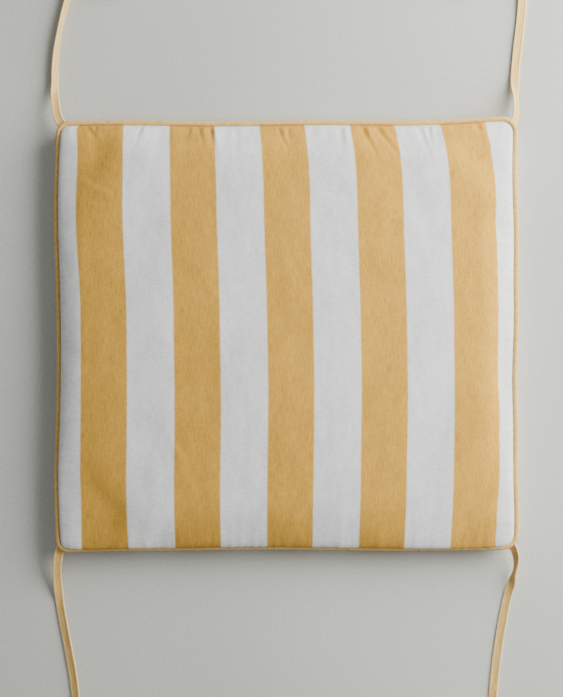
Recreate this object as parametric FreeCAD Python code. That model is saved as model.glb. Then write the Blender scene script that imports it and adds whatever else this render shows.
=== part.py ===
import FreeCAD, Part
import math
import os

Vector = FreeCAD.Vector

# A piped chair seat pad with four corner ties, in millimetres.
# +Z is up, +Y is the side at the chair's back, and the pad rests on z = 0 with its middle at the origin.

# The pad, piping included.
PAD_WIDTH = 400.0
PAD_DEPTH = 372.0
PAD_THICKNESS = 40.0
SEAM_HEIGHT = 19.0
CORNER_RADIUS = 12.0
TOP_ROUNDING = 11.0
BOTTOM_ROUNDING = 7.0

# Its layers, from the outside in.
COVER_THICKNESS = 0.8
WADDING_THICKNESS = 6.0
LAYER_GAP = 0.2

# The piping round the edge: a cord inside a folded fabric strip, whose flat tail is sewn into the seam.
PIPING_DIAMETER = 4.4
CORD_DIAMETER = 3.0
TAIL_THICKNESS = 1.2
TAIL_WIDTH = 6.5
THREAD_DIAMETER = 0.5

# The closed zip in the back edge, under the piping. It runs along X.
ZIP_LENGTH = 300.0
ZIP_HEIGHT = 11.6
ZIP_SLIT = 0.9
ZIP_MOUTH = (7.9, 15.8)
TAPE_THICKNESS = 0.5
TAPE_EDGES = (7.0, 17.6)
TEETH_HEIGHT = 2.0
TEETH_DEPTH = 1.8
TEETH_ROUNDING = 0.5
STOP_LENGTH = 2.0
MOVING_GAP = 0.3

# The zip's slider and the pull that swings on it.
SLIDER_LENGTH = 9.0
SLIDER_HEIGHT = 7.2
PLATE_THICKNESS = 0.7
LIP_THICKNESS = 0.75
CROWN_LENGTH = 6.0
CROWN_WIDTH = 1.2
CROWN_DEPTH = 2.0
CROWN_WALL = 0.7
CROWN_LEG = 1.1
PULL_LENGTH = 20.0
PULL_WIDTH = 4.4
PULL_THICKNESS = 0.8
PULL_EYE_LENGTH = 5.0
PULL_EYE_WIDTH = 1.9

# The care label, hanging from the back seam beside the zip.
LABEL_WIDTH = 20.0
LABEL_MIDDLE = -172.0
LABEL_EDGES = (4.5, 16.5)

# The four ties: flat folded straps, and a ring for each one's spare length.
TIE_WIDTH = 8.0
TIE_THICKNESS = 1.6
TIE_LENGTH = 450.0
RING_RADIUS = 35.0
RING_WALL = 6.0
TACK_SIZE = (6.0, 3.0, 0.9)

# Each tie's route, from its root at the corner down to the floor and away from the pad.
TIE_ROUTES = {
    "tie_back_left": [
        (-197.5, 184.5, 15.6), (-199.2, 193.4, 14.6), (-201.0, 203.2, 10.6), (-202.3, 214.1, 5.2),
        (-202.9, 226.1, 1.9), (-202.7, 240.1, 1.0), (-201.0, 257.5, 0.9), (-197.0, 277.0, 0.9),
        (-191.5, 297.0, 0.9), (-186.6, 318.0, 0.9), (-183.2, 338.0, 0.9),
    ],
    "tie_back_right": [
        (197.5, 184.5, 15.6), (197.2, 193.6, 14.6), (197.0, 203.5, 10.6), (197.1, 214.6, 5.2),
        (197.7, 226.6, 1.9), (198.9, 240.6, 1.0), (201.0, 259.0, 0.9), (203.4, 279.0, 0.9),
        (204.8, 299.0, 0.9), (204.3, 320.0, 0.9), (202.0, 340.0, 0.9),
    ],
    "tie_front_left": [
        (-197.5, -184.5, 15.6), (-198.6, -193.5, 14.6), (-199.3, -203.4, 10.6), (-199.2, -214.4, 5.2),
        (-198.2, -226.5, 1.9), (-196.3, -240.3, 1.0), (-193.3, -258.0, 0.9), (-190.2, -277.5, 0.9),
        (-187.2, -298.0, 0.9), (-184.6, -320.0, 0.9), (-183.0, -341.0, 0.9), (-182.6, -361.0, 0.9),
    ],
    "tie_front_right": [
        (197.5, -184.5, 15.6), (198.8, -193.3, 14.6), (198.6, -203.1, 10.6), (196.6, -213.6, 5.2),
        (193.2, -225.0, 1.9), (190.3, -238.6, 1.0), (187.0, -256.0, 0.9), (183.9, -276.0, 0.9),
        (181.4, -297.0, 0.9), (179.4, -319.0, 0.9), (178.4, -341.0, 0.9), (178.6, -361.0, 0.9),
    ],
}

# Worked out from the sizes above.
PANEL_HALF_WIDTH = PAD_WIDTH / 2 - PIPING_DIAMETER
PANEL_HALF_DEPTH = PAD_DEPTH / 2 - PIPING_DIAMETER
TAIL_TOP = SEAM_HEIGHT + TAIL_THICKNESS / 2
TAIL_BOTTOM = SEAM_HEIGHT - TAIL_THICKNESS / 2
WADDING_INSET = COVER_THICKNESS + LAYER_GAP
FOAM_INSET = WADDING_INSET + WADDING_THICKNESS + LAYER_GAP
BACK_FACE = PANEL_HALF_DEPTH
TAPE_FACE = BACK_FACE - COVER_THICKNESS
TEETH_FACE = TAPE_FACE + TEETH_DEPTH
SLIDER_REST = ZIP_LENGTH / 2 - SLIDER_LENGTH / 2 - MOVING_GAP


def export(name, shape):
    """Write one node and print its volume."""
    os.makedirs("parts", exist_ok=True)
    shape.exportStep("parts/" + name + ".step")
    print(name, "volume", round(shape.Volume, 1), "valid", shape.isValid(), "solids", len(shape.Solids))


def box(x_range, y_range, z_range):
    """A box between two values along each axis."""
    size = [high - low for low, high in (x_range, y_range, z_range)]
    return Part.makeBox(*size, Vector(x_range[0], y_range[0], z_range[0]))


def outline(inset, height):
    """The pad's rounded outline in plan, inset from the panels' edge, as a closed wire."""
    half_x = PANEL_HALF_WIDTH - inset
    half_y = PANEL_HALF_DEPTH - inset
    radius = CORNER_RADIUS - inset
    edges = []
    for turn in range(4):
        quarter = math.pi / 2 * turn
        sign_x = 1 if turn in (0, 3) else -1
        sign_y = 1 if turn in (0, 1) else -1
        middle = Vector(sign_x * (half_x - radius), sign_y * (half_y - radius), height)
        start, halfway, end = [
            middle + Vector(math.cos(quarter + step), math.sin(quarter + step), 0) * radius
            for step in (0, math.pi / 4, math.pi / 2)
        ]
        if edges:
            edges.append(Part.makeLine(edges[-1].Vertexes[-1].Point, start))
        edges.append(Part.Arc(start, halfway, end).toShape())
    edges.append(Part.makeLine(edges[-1].Vertexes[-1].Point, edges[0].Vertexes[0].Point))
    return Part.Wire(edges)


def form(inset):
    """The stuffed pad's plain form, shrunk on every side by inset."""
    height = PAD_THICKNESS - 2 * inset
    block = Part.Face(outline(inset, inset)).extrude(Vector(0, 0, height))
    for level, rounding in ((PAD_THICKNESS - inset, TOP_ROUNDING), (inset, BOTTOM_ROUNDING)):
        rim = [e for e in block.Edges if all(abs(v.Z - level) < 0.01 for v in e.Vertexes)]
        block = block.makeFillet(max(rounding - inset, 1.0), rim)
    return block


def layer(outer_inset, inner_inset, z_range):
    """A shell between two insets of the form, kept between two heights."""
    shell = form(outer_inset).cut(form(inner_inset))
    return shell.common(box((-PAD_WIDTH, PAD_WIDTH), (-PAD_DEPTH, PAD_DEPTH), z_range))


def loop(inset, height, diameter):
    """A round cord that follows the pad's outline."""
    spine = outline(inset, height)
    start = spine.Edges[0].Vertexes[0].Point
    section = Part.Wire(Part.makeCircle(diameter / 2, start, Vector(0, 1, 0)))
    return spine.makePipeShell([section], True, True)


def make_covers():
    """The top and bottom panels. The bottom one is open along the zip."""
    top = layer(0, COVER_THICKNESS, (TAIL_TOP, PAD_THICKNESS))
    bottom = layer(0, COVER_THICKNESS, (0, TAIL_BOTTOM))
    half_mouth = ZIP_LENGTH / 2 + STOP_LENGTH + 1
    mouth = box((-half_mouth, half_mouth), (TAPE_FACE - 1, BACK_FACE + 1), ZIP_MOUTH)
    return {"top_cover": top, "bottom_cover": bottom.cut(mouth)}


def make_filling():
    """A foam slab with wadding above and below it, and a pocket in the wadding for the zip's back."""
    thread_room = THREAD_DIAMETER + LAYER_GAP
    top = layer(WADDING_INSET, FOAM_INSET - LAYER_GAP, (TAIL_TOP + thread_room, PAD_THICKNESS))
    bottom = layer(WADDING_INSET, FOAM_INSET - LAYER_GAP, (0, TAIL_BOTTOM - thread_room))
    half_pocket = ZIP_LENGTH / 2 + STOP_LENGTH + 1
    pocket = box((-half_pocket, half_pocket), (TAPE_FACE - 3, BACK_FACE), (TAPE_EDGES[0] - 0.5, SEAM_HEIGHT))
    return {"foam_core": form(FOAM_INSET), "top_wadding": top, "bottom_wadding": bottom.cut(pocket)}


def make_piping():
    """The piping's cord, and the fabric round it with its flat tail in the seam."""
    middle = -PIPING_DIAMETER / 2
    cord = loop(middle, SEAM_HEIGHT, CORD_DIAMETER)
    wall = (PIPING_DIAMETER - CORD_DIAMETER) / 2
    tail = Part.Face(outline(-wall / 2, TAIL_BOTTOM)).cut(Part.Face(outline(TAIL_WIDTH, TAIL_BOTTOM)))
    tail = tail.extrude(Vector(0, 0, TAIL_THICKNESS))
    sleeve = loop(middle, SEAM_HEIGHT, PIPING_DIAMETER).fuse(tail).cut(cord)
    return {"piping_cord": cord, "piping_sleeve": sleeve.removeSplitter()}


def make_seam_thread():
    """The seam's needle and bobbin threads, above and below the piping's tail."""
    inset = COVER_THICKNESS + THREAD_DIAMETER
    needle = loop(inset, TAIL_TOP + THREAD_DIAMETER / 2, THREAD_DIAMETER)
    bobbin = loop(inset, TAIL_BOTTOM - THREAD_DIAMETER / 2, THREAD_DIAMETER)
    return {"seam_thread": Part.makeCompound([needle, bobbin])}


def make_zip_chain():
    """Two tapes, the row of teeth on each, and a stop at each end."""
    nodes = {}
    along = (-ZIP_LENGTH / 2, ZIP_LENGTH / 2)
    for side, sign in (("upper", 1), ("lower", -1)):
        inner = ZIP_HEIGHT + sign * ZIP_SLIT / 2
        outer = TAPE_EDGES[1] if sign > 0 else TAPE_EDGES[0]
        tape_y = (TAPE_FACE - TAPE_THICKNESS, TAPE_FACE)
        nodes["zip_" + side + "_tape"] = box(along, tape_y, sorted((inner, outer)))
        row = box(along, (TAPE_FACE, TEETH_FACE), sorted((inner, inner + sign * TEETH_HEIGHT)))
        ridge = [e for e in row.Edges if all(abs(v.Y - TEETH_FACE) < 0.01 for v in e.Vertexes) and e.Length > 50]
        nodes["zip_" + side + "_teeth"] = row.makeFillet(TEETH_ROUNDING, ridge)
    reach = TEETH_HEIGHT + ZIP_SLIT / 2
    stops = [
        box(sorted((end, end + sign * STOP_LENGTH)), (TAPE_FACE, TEETH_FACE), (ZIP_HEIGHT - reach, ZIP_HEIGHT + reach))
        for end, sign in ((along[0], -1), (along[1], 1))
    ]
    nodes["zip_end_stops"] = Part.makeCompound(stops)
    return nodes


def make_zip_slider():
    """The slider, its plates joined by a web that runs in the slit, and the pull on its crown."""
    x_range = (SLIDER_REST - SLIDER_LENGTH / 2, SLIDER_REST + SLIDER_LENGTH / 2)
    z_range = (ZIP_HEIGHT - SLIDER_HEIGHT / 2, ZIP_HEIGHT + SLIDER_HEIGHT / 2)
    plate_in = TEETH_FACE + MOVING_GAP
    plate_out = plate_in + PLATE_THICKNESS
    back_out = TAPE_FACE - TAPE_THICKNESS - MOVING_GAP
    slider = box(x_range, (plate_in, plate_out), z_range)
    for lip in ((z_range[0], z_range[0] + LIP_THICKNESS), (z_range[1] - LIP_THICKNESS, z_range[1])):
        slider = slider.fuse(box(x_range, (TAPE_FACE + MOVING_GAP, plate_out), lip))
    web = (ZIP_HEIGHT - ZIP_SLIT / 6, ZIP_HEIGHT + ZIP_SLIT / 6)
    slider = slider.fuse(box(x_range, (back_out - PLATE_THICKNESS, plate_out), web))
    slider = slider.fuse(box(x_range, (back_out - PLATE_THICKNESS, back_out), z_range))
    half_crown = CROWN_LENGTH / 2
    crown_z = (ZIP_HEIGHT - CROWN_WIDTH / 2, ZIP_HEIGHT + CROWN_WIDTH / 2)
    crown = box((-half_crown, half_crown), (plate_out, plate_out + CROWN_DEPTH), crown_z)
    window_y = (plate_out, plate_out + CROWN_DEPTH - CROWN_WALL)
    crown = crown.cut(box((CROWN_LEG - half_crown, half_crown - CROWN_LEG), window_y, crown_z))
    crown.translate(Vector(SLIDER_REST, 0, 0))
    slider = slider.fuse(crown).removeSplitter()

    pivot_y = sum(window_y) / 2
    pull_y = (pivot_y - PULL_THICKNESS / 2, pivot_y + PULL_THICKNESS / 2)
    half_width = PULL_WIDTH / 2
    tab = box((-PULL_LENGTH, 0), pull_y, (-half_width, half_width))
    free_end = [e for e in tab.Edges if abs(e.Vertexes[0].Y - e.Vertexes[-1].Y) > 0.1 and e.Vertexes[0].X < -1]
    tab = tab.makeFillet(half_width * 0.9, free_end)
    tab = tab.cut(box((-PULL_EYE_LENGTH, 1), pull_y, (-PULL_EYE_WIDTH / 2, PULL_EYE_WIDTH / 2)))
    pin = Part.makeCylinder(PULL_THICKNESS / 2, PULL_WIDTH, Vector(0, pivot_y, -half_width), Vector(0, 0, 1))
    pull = tab.fuse(pin).removeSplitter()
    pull.translate(Vector(SLIDER_REST, 0, ZIP_HEIGHT))
    print("pull pivot", SLIDER_REST, pivot_y, ZIP_HEIGHT)
    return {"zip_slider": slider, "zip_pull": pull}


def make_label():
    """The blank care label, a short folded tape."""
    half_width = LABEL_WIDTH / 2
    x_range = (LABEL_MIDDLE - half_width, LABEL_MIDDLE + half_width)
    return {"care_label": box(x_range, (BACK_FACE, BACK_FACE + TAPE_THICKNESS), LABEL_EDGES)}


def rounded_route(points):
    """Straight runs joined by tangent arcs, each as large as its two runs allow, and the radii used."""
    edges = []
    radii = []
    start = points[0]
    for before, corner, after in zip(points, points[1:], points[2:]):
        into = (corner - before).normalize()
        out = (after - corner).normalize()
        cut = 0.45 * min((corner - before).Length, (after - corner).Length)
        half_turn = into.getAngle(out) / 2
        radii.append(cut / math.tan(half_turn))
        arc_start = corner - into * cut
        arc_end = corner + out * cut
        inward = (out - into).normalize()
        halfway = corner + inward * (radii[-1] / math.cos(half_turn) - radii[-1])
        edges.append(Part.LineSegment(start, arc_start).toShape())
        edges.append(Part.Arc(arc_start, halfway, arc_end).toShape())
        start = arc_end
    edges.append(Part.LineSegment(start, points[-1]).toShape())
    return Part.Wire(edges), radii


def make_tie(name, route):
    """One tie: a flat strap with a round end at its root, cut where it meets the ring of its spare length."""
    points = [Vector(*point) for point in route]
    spine, radii = rounded_route(points)
    heading = points[1] - points[0]
    heading.z = 0
    across = Vector(0, 0, 1).cross(heading.normalize()) * (TIE_WIDTH / 2)
    rise = Vector(0, 0, TIE_THICKNESS / 2)
    corners = [points[0] + across + rise, points[0] - across + rise, points[0] - across - rise]
    corners.append(points[0] + across - rise)
    section = Part.makePolygon(corners + corners[:1])
    sweep = Part.BRepOffsetAPI.MakePipeShell(spine)
    sweep.setBiNormalMode(Vector(0, 0, 1))
    sweep.add(section)
    sweep.build()
    sweep.makeSolid()
    strap = sweep.shape()
    expected = TIE_WIDTH * TIE_THICKNESS * spine.Length
    print(name, "radii", [round(r) for r in radii], "volume share", round(strap.Volume / expected, 3))

    last = points[-1] - points[-2]
    last.z = 0
    inward = Vector(-last.y, last.x, 0).normalize()
    if inward.x * points[0].x > 0:
        inward = inward * -1
    middle = points[-1] + inward * RING_RADIUS
    middle.z = 0
    outer = Part.makeCylinder(RING_RADIUS + RING_WALL / 2, TIE_WIDTH, middle)
    ring = outer.cut(Part.makeCylinder(RING_RADIUS - RING_WALL / 2, TIE_WIDTH, middle))
    root = Part.makeCylinder(TIE_WIDTH / 2, TIE_THICKNESS, points[0] - rise)
    turns = (TIE_LENGTH - spine.Length) / (2 * math.pi * RING_RADIUS)
    print(name, "strap", round(spine.Length, 1), "ring at", middle, "turns", round(turns, 2))
    return {name: strap.fuse(root).cut(outer).removeSplitter(), name + "_spare": ring}


def make_tacks():
    """A short bar of thread under each tie's root, against the bottom cover."""
    across, out, high = TACK_SIZE
    tacks = []
    for route in TIE_ROUTES.values():
        root = Vector(*route[0])
        middle_x = math.copysign(PANEL_HALF_WIDTH - CORNER_RADIUS, root.x)
        middle_y = math.copysign(PANEL_HALF_DEPTH - CORNER_RADIUS, root.y)
        angle = math.degrees(math.atan2(root.y - middle_y, root.x - middle_x))
        tack = Part.makeBox(out, across, high, Vector(CORNER_RADIUS - 0.5, -across / 2, 0))
        tack.rotate(Vector(0, 0, 0), Vector(0, 0, 1), angle)
        tack.translate(Vector(middle_x, middle_y, root.z - TIE_THICKNESS / 2 - MOVING_GAP - high))
        tacks.append(tack.cut(form(0)))
    return {"tie_tacks": Part.makeCompound(tacks)}


def main():
    nodes = {}
    for make in (make_covers, make_filling, make_piping, make_seam_thread, make_zip_chain, make_zip_slider):
        nodes.update(make())
    nodes.update(make_label())
    nodes.update(make_tacks())
    for name, route in TIE_ROUTES.items():
        nodes.update(make_tie(name, route))
    for name, shape in nodes.items():
        export(name, shape)


main()
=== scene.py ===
import bpy
import bmesh
import math
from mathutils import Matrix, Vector, noise


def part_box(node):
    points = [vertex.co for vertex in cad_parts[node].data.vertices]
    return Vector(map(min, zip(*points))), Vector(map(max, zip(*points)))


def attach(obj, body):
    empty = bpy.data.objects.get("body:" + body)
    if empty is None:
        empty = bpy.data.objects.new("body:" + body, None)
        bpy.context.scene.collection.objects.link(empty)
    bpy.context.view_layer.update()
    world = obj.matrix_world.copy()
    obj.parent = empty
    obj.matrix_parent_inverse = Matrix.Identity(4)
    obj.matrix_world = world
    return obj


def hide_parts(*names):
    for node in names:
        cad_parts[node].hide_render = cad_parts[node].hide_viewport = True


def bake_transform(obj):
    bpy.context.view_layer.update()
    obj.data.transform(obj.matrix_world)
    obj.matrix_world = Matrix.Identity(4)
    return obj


# Striped chair seat pad: piped edge, zip in the back edge, a flat tie at every corner.
# Metres, +Y towards the chair's back, the pad's underside on z = 0.
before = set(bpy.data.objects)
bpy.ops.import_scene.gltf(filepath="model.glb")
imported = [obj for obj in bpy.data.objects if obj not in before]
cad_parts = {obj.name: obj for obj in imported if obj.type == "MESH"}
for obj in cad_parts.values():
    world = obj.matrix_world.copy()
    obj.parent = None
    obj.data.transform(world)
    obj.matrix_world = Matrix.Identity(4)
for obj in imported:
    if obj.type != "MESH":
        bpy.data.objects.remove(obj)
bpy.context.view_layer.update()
scene = bpy.context.scene
print("frame loaded", len(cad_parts), "nodes")


# Small helpers
def smoothStep(low, high, value):
    share = min(max((value - low) / (high - low), 0.0), 1.0)
    return share * share * (3 - 2 * share)


def hump(value, middle, width):
    return math.exp(-((value - middle) / width) ** 2)


def ripple(x, y, z=0.0):
    return noise.noise(Vector((x, y, z)))


def linkPiece(name, mesh):
    piece = bpy.data.objects.new(name, mesh)
    scene.collection.objects.link(piece)
    return piece


def makePiece(name, points, faces, weave=None, marks=None):
    mesh = bpy.data.meshes.new(name)
    mesh.from_pydata([tuple(point) for point in points], [], faces)
    mesh.update()
    mesh.shade_smooth()
    if weave:
        setVectors(mesh, "weave", weave)
    if marks:
        for polygon, mark in zip(mesh.polygons, marks):
            polygon.material_index = mark
    return linkPiece(name, mesh)


def setVectors(mesh, name, values):
    layer = mesh.attributes.get(name) or mesh.attributes.new(name, "FLOAT_VECTOR", "POINT")
    for entry, value in zip(layer.data, values):
        entry.vector = value


def getVectors(mesh, name):
    return [entry.vector.copy() for entry in mesh.attributes[name].data]


def gridFaces(columns, rows):
    faces = []
    for column in range(columns - 1):
        for row in range(rows - 1):
            a = column * rows + row
            faces.append((a, a + rows, a + rows + 1, a + 1))
    return faces


def closedGrid(columns, rows):
    # a grid, the same grid below it turned over, and the band between their edges
    below = columns * rows
    top = gridFaces(columns, rows)
    ring = [(column, rows - 1) for column in range(columns)]
    ring += [(columns - 1, row) for row in range(rows - 2, -1, -1)]
    ring += [(column, 0) for column in range(columns - 2, -1, -1)]
    ring += [(0, row) for row in range(1, rows - 1)]
    edge = [column * rows + row for column, row in ring]
    band = [(a, b, below + b, below + a) for a, b in zip(edge, edge[1:] + edge[:1])]
    return top + [tuple(below + corner for corner in reversed(face)) for face in top] + band


def bandFaces(bands, count, base=0, flip=False):
    # the faces between each ring of points and the next
    faces = []
    for ring in range(bands):
        for corner in range(count):
            a = base + ring * count + corner
            b = base + ring * count + (corner + 1) % count
            faces.append((a, a + count, b + count, b) if flip else (a, b, b + count, a + count))
    return faces


def barFaces(bands, count, base=0, flip=False):
    # a bar made of rings, with its two flat ends
    start = tuple(base + corner for corner in range(count))
    end = tuple(base + bands * count + corner for corner in range(count))
    ends = [start, end[::-1]] if flip else [start[::-1], end]
    return bandFaces(bands, count, base, flip) + ends


def finishModifiers(piece):
    graph = bpy.context.evaluated_depsgraph_get()
    mesh = bpy.data.meshes.new_from_object(
        piece.evaluated_get(graph), preserve_all_data_layers=True, depsgraph=graph)
    piece.modifiers.clear()
    piece.data = mesh


def subdivide(piece):
    modifier = piece.modifiers.new("Smooth", "SUBSURF")
    modifier.levels = 1
    modifier.boundary_smooth = "PRESERVE_CORNERS"
    finishModifiers(piece)


def finishPiece(piece, body, slot, materials, *nodes):
    for material in materials:
        piece.data.materials.append(material)
    if body:
        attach(piece, body)
    if nodes:
        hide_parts(*nodes)


# Material helpers: every node is added with its settings and inputs in one call.
def addNode(tree, kind, settings=None, inputs=None):
    made = tree.nodes.new(kind)
    for key, value in (settings or {}).items():
        setattr(made, key, value)
    for key, value in (inputs or {}).items():
        if isinstance(value, bpy.types.NodeSocket):
            tree.links.new(value, made.inputs[key])
        else:
            made.inputs[key].default_value = value
    return made


def calc(tree, operation, first, second=0.0):
    return addNode(tree, "ShaderNodeMath", {"operation": operation}, {0: first, 1: second}).outputs[0]


def weighted(tree, *parts):
    # the sum of sockets, each given with its weight
    terms = [value if weight == 1 else calc(tree, "MULTIPLY", value, weight) for value, weight in parts]
    total = terms[0]
    for term in terms[1:]:
        total = calc(tree, "ADD", total, term)
    return total


def clothPlace(tree):
    return addNode(tree, "ShaderNodeAttribute", {"attribute_name": "weave"}).outputs["Vector"]


def objectPlace(tree):
    return addNode(tree, "ShaderNodeTexCoord").outputs["Object"]


def splitAxes(tree, place):
    return addNode(tree, "ShaderNodeSeparateXYZ", None, {0: place}).outputs


def spread(tree, value, low, high, outLow=0.0, outHigh=1.0, smooth=False):
    kind = "SMOOTHSTEP" if smooth else "LINEAR"
    inputs = {"Value": value, "From Min": low, "From Max": high, "To Min": outLow, "To Max": outHigh}
    return addNode(tree, "ShaderNodeMapRange", {"interpolation_type": kind}, inputs).outputs["Result"]


def grain(tree, place, scale, detail=2.0):
    stretched = addNode(tree, "ShaderNodeVectorMath", {"operation": "MULTIPLY"}, {0: place, 1: scale})
    inputs = {"Vector": stretched.outputs[0], "Scale": 1.0, "Detail": detail, "Roughness": 0.6}
    return addNode(tree, "ShaderNodeTexNoise", None, inputs).outputs["Fac"]


def blendColours(tree, share, first, second, kind="MIX"):
    mix = addNode(tree, "ShaderNodeMix", {"data_type": "RGBA", "blend_type": kind})
    for index, value in ((0, share), (6, first), (7, second)):
        if isinstance(value, bpy.types.NodeSocket):
            tree.links.new(value, mix.inputs[index])
        else:
            mix.inputs[index].default_value = value
    return mix.outputs[2]


def grey(tree, value):
    return addNode(tree, "ShaderNodeCombineColor", None, {0: value, 1: value, 2: value}).outputs[0]


def startMaterial(name, look):
    material = bpy.data.materials.new(name)
    material.use_nodes = True
    tree = material.node_tree
    shader = tree.nodes["Principled BSDF"]
    shader.inputs["Roughness"].default_value = look.get("roughness", 0.9)
    shader.inputs["Specular IOR Level"].default_value = look.get("specular", 0.25)
    shader.inputs["Sheen Weight"].default_value = look.get("sheen", 0.0)
    shader.inputs["Sheen Roughness"].default_value = 0.5
    return material, tree, shader


def finishMaterial(tree, shader, colour, roughness, height, strength, distance):
    inputs = {"Height": height, "Strength": strength, "Distance": distance}
    normal = addNode(tree, "ShaderNodeBump", None, inputs).outputs["Normal"]
    for name, socket in (("Base Color", colour), ("Roughness", roughness), ("Normal", normal)):
        if socket:
            tree.links.new(socket, shader.inputs[name])


def threads(tree, place, pitch):
    # over and under of a plain weave, from 0 to 1
    axes = splitAxes(tree, place)
    turn = 2 * math.pi / pitch
    warp, weft = [calc(tree, "SINE", calc(tree, "MULTIPLY", axes[index], turn)) for index in (0, 1)]
    return spread(tree, calc(tree, "MULTIPLY", warp, weft), -1.0, 1.0)


# Camera
cameraSetup = {"middle": (-0.0052, -0.0113), "height": 1.82, "sensor": 36.0, "longSide": 0.6036}


def makeCamera():
    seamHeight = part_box("seam_thread")[1][2]
    data = bpy.data.cameras.new("camera")
    data.sensor_width = cameraSetup["sensor"]
    reach = cameraSetup["height"] - seamHeight
    data.lens = cameraSetup["sensor"] * reach / cameraSetup["longSide"]
    camera = bpy.data.objects.new("camera", data)
    camera.location = (*cameraSetup["middle"], cameraSetup["height"])
    scene.collection.objects.link(camera)
    scene.camera = camera


makeCamera()
print("camera made")

# Fabrics
stripedLook = {
    "roughness": 0.92, "specular": 0.18, "sheen": 0.12,
    "first": 0.178, "width": 0.040, "edge": 0.00035, "waver": 0.0005,
    "yellow": (0.600, 0.310, 0.030, 1), "yellowLight": (0.715, 0.405, 0.066, 1),
    "white": (0.810, 0.805, 0.800, 1), "whiteShade": (0.735, 0.733, 0.733, 1),
    # painted shading: the first ramp darkens the yellow towards the left side and lightens it towards the
    # right, the second darkens it towards the front seam
    "edgeThread": (0.800, 0.690, 0.460, 1), "paintedShading": (0.88, 1.05), "paintedFrontShade": 0.90,
    "pitch": 0.00075, "slubs": (760.0, 120.0, 1.0), "crossing": (170.0, 900.0, 1.0),
    "flecks": (640.0, 520.0, 1.0), "cloud": (130.0, 45.0, 1.0), "drift": (24.0, 12.0, 1.0),
    "bump": (0.45, 0.00026),
}
trimLook = {
    "roughness": 0.9, "specular": 0.18, "sheen": 0.12, "pitch": 0.00065, "bump": (0.4, 0.0002),
    "slubs": (700.0, 90.0, 1.0), "flecks": (180.0, 1100.0, 1.0),
    "light": (0.850, 0.580, 0.200, 1), "dark": (0.650, 0.380, 0.090, 1),
}
strapLook = {
    **trimLook, "light": (0.880, 0.600, 0.220, 1), "dark": (0.680, 0.390, 0.090, 1),
    # painted highlight: a paler colour along the strap's folded edges
    "paintedHighlight": (0.950, 0.760, 0.410, 1), "highlightFrom": 0.0022, "highlightTo": 0.0035,
}


def makeStripedFabric():
    look = stripedLook
    material, tree, shader = startMaterial("stripedFabric", look)
    place = clothPlace(tree)
    axes = splitAxes(tree, place)
    # woven slubs: long thick threads down the stripes, fainter ones across
    slubs, crossing, flecks, cloud = [
        grain(tree, place, look[key], 3.0) for key in ("slubs", "crossing", "flecks", "cloud")]
    drift = grain(tree, place, look["drift"], 2.0)
    # the stripes, with a slightly uneven woven edge
    waver = calc(tree, "MULTIPLY", calc(tree, "SUBTRACT", slubs, 0.5), look["waver"])
    half = look["width"] / 2
    across = calc(tree, "ADD", calc(tree, "ADD", axes[0], waver), look["first"] - half)
    wave = calc(tree, "PINGPONG", across, look["width"])
    isWhite = spread(tree, wave, half - look["edge"], half + look["edge"], smooth=True)
    edge = calc(tree, "ABSOLUTE", calc(tree, "SUBTRACT", wave, half))
    atEdge = spread(tree, edge, 0.0003, 0.0009, 0.45, 0.0)
    yellowShare = spread(tree, calc(tree, "ADD", slubs, flecks), 0.70, 1.30)
    yellow = blendColours(tree, yellowShare, look["yellow"], look["yellowLight"])
    # painted shading: the yellow is darkened towards the left side and the front seam and lightened towards
    # the right, as the light falls
    paintedShading = spread(tree, axes[0], -0.2, 0.2, *look["paintedShading"])
    paintedFrontShade = spread(tree, axes[1], -0.182, -0.140, look["paintedFrontShade"], 1.0, smooth=True)
    paintedShading = calc(tree, "MULTIPLY", paintedShading, paintedFrontShade)
    yellow = blendColours(tree, 1.0, yellow, grey(tree, paintedShading), "MULTIPLY")
    whiteShare = spread(tree, calc(tree, "ADD", flecks, crossing), 0.80, 1.20)
    white = blendColours(tree, whiteShare, look["whiteShade"], look["white"])
    colour = blendColours(tree, isWhite, yellow, white)
    colour = blendColours(tree, atEdge, colour, look["edgeThread"])
    weave = threads(tree, place, look["pitch"])
    tones = weighted(tree, (crossing, 1), (slubs, 1), (weave, 0.35), (cloud, 0.9), (drift, 1))
    tone = spread(tree, tones, 1.65, 2.55, 0.82, 1.16)
    # a few threads stand out darker, down the stripes and across them
    down = spread(tree, slubs, 0.60, 0.66, 0.0, 0.07)
    over = spread(tree, crossing, 0.61, 0.67, 0.0, 0.05)
    tone = calc(tree, "SUBTRACT", tone, calc(tree, "ADD", down, over))
    colour = blendColours(tree, 1.0, colour, grey(tree, tone), "MULTIPLY")
    roughness = spread(tree, slubs, 0.3, 0.7, 0.97, 0.86)
    height = weighted(tree, (weave, 0.35), (slubs, 1), (crossing, 0.6))
    finishMaterial(tree, shader, colour, roughness, height, *look["bump"])
    return material


def makeTrimFabric(name, look):
    material, tree, shader = startMaterial(name, look)
    place = clothPlace(tree)
    slubs = grain(tree, place, look["slubs"], 3.0)
    flecks = grain(tree, place, look["flecks"], 2.0)
    weave = threads(tree, place, look["pitch"])
    share = spread(tree, weighted(tree, (slubs, 1.5), (flecks, 0.5)), 0.75, 1.25)
    colour = blendColours(tree, share, look["dark"], look["light"])
    if "paintedHighlight" in look:
        # painted highlight: the strap is palest along its folded edges, where they catch the light
        across = calc(tree, "ABSOLUTE", splitAxes(tree, place)[0])
        atHighlight = spread(tree, across, look["highlightFrom"], look["highlightTo"], 0.0, 0.75)
        colour = blendColours(tree, atHighlight, colour, look["paintedHighlight"])
    roughness = spread(tree, flecks, 0.3, 0.7, 0.95, 0.84)
    height = weighted(tree, (weave, 0.5), (slubs, 1))
    finishMaterial(tree, shader, colour, roughness, height, *look["bump"])
    return material


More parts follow.
